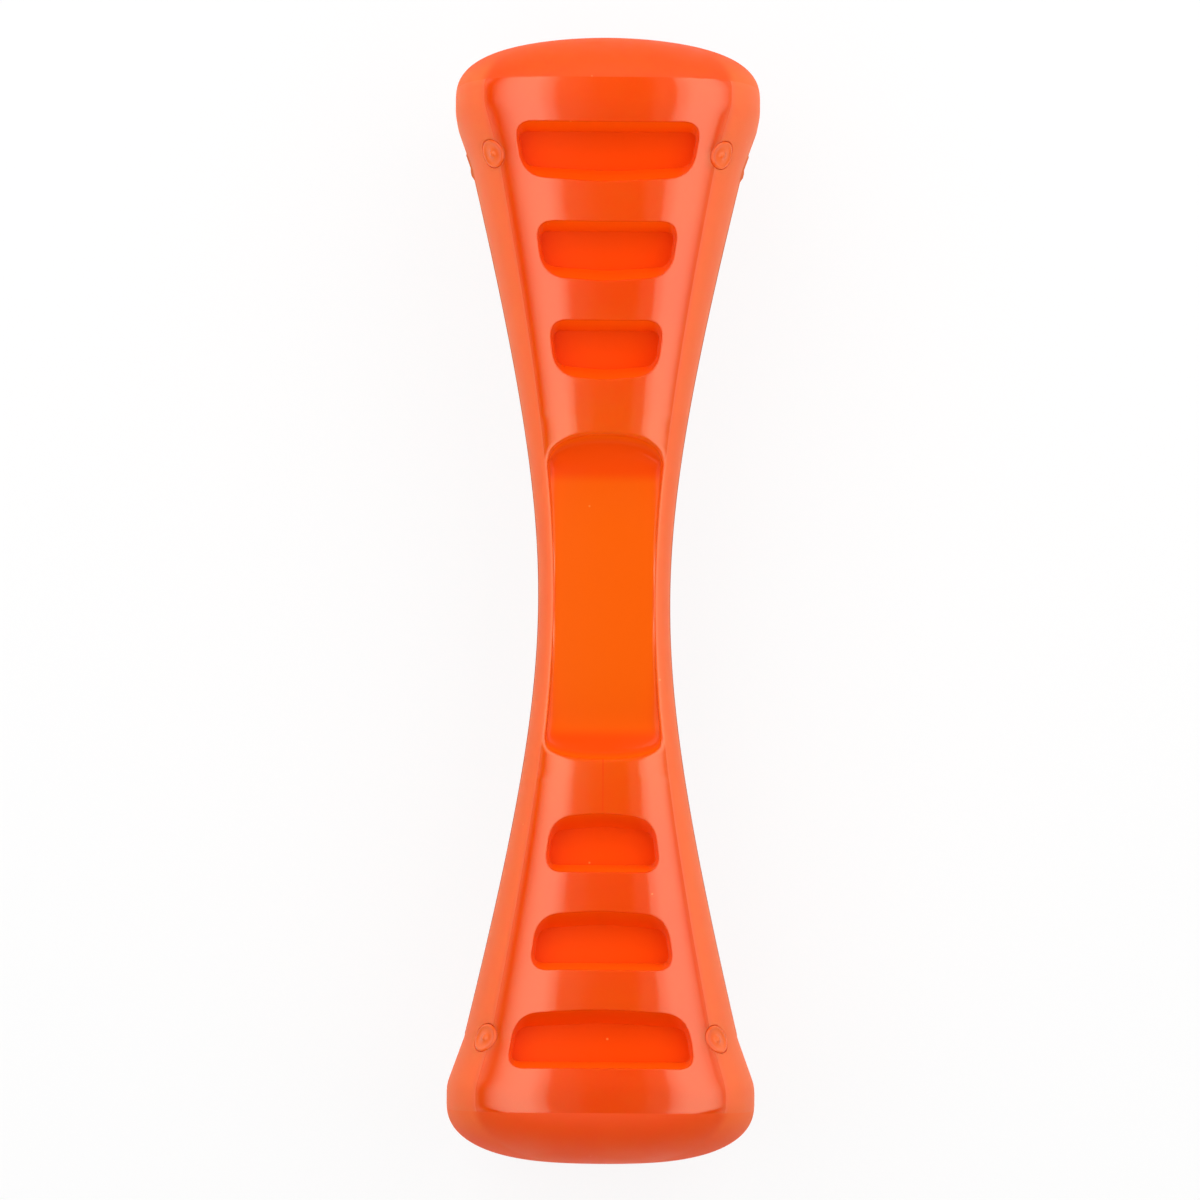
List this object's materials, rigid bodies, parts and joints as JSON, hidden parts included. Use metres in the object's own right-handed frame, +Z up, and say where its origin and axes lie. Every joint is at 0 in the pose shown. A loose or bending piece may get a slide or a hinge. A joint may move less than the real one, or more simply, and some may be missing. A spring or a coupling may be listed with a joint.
{
  "type": "dog fetch stick",
  "caption": "Hourglass rubber fetch stick with flared rounded ends, treat pockets down its front and back, and a plain recessed panel at the waist.",
  "frame": {"origin": "middle of the stick's length and width, on the surface it lies on", "axes": "+X across the stick, +Y along it towards the end at the top of the picture, +Z up out of its front face"},
  "size_m": [0.064, 0.235, 0.064],
  "materials": {
    "shell": "semi-gloss moulded orange rubber, slightly translucent",
    "core": "satin moulded orange rubber",
    "peg": "semi-gloss moulded orange rubber"
  },
  "bodies": {
    "root": {"front_shell": "shell", "back_shell": "shell", "core_spine": "core", "peg_front_top_left": "peg", "peg_front_top_right": "peg", "peg_front_bottom_left": "peg", "peg_front_bottom_right": "peg", "peg_back_top_left": "peg", "peg_back_top_right": "peg", "peg_back_bottom_left": "peg", "peg_back_bottom_right": "peg"}
  },
  "joints": []
}
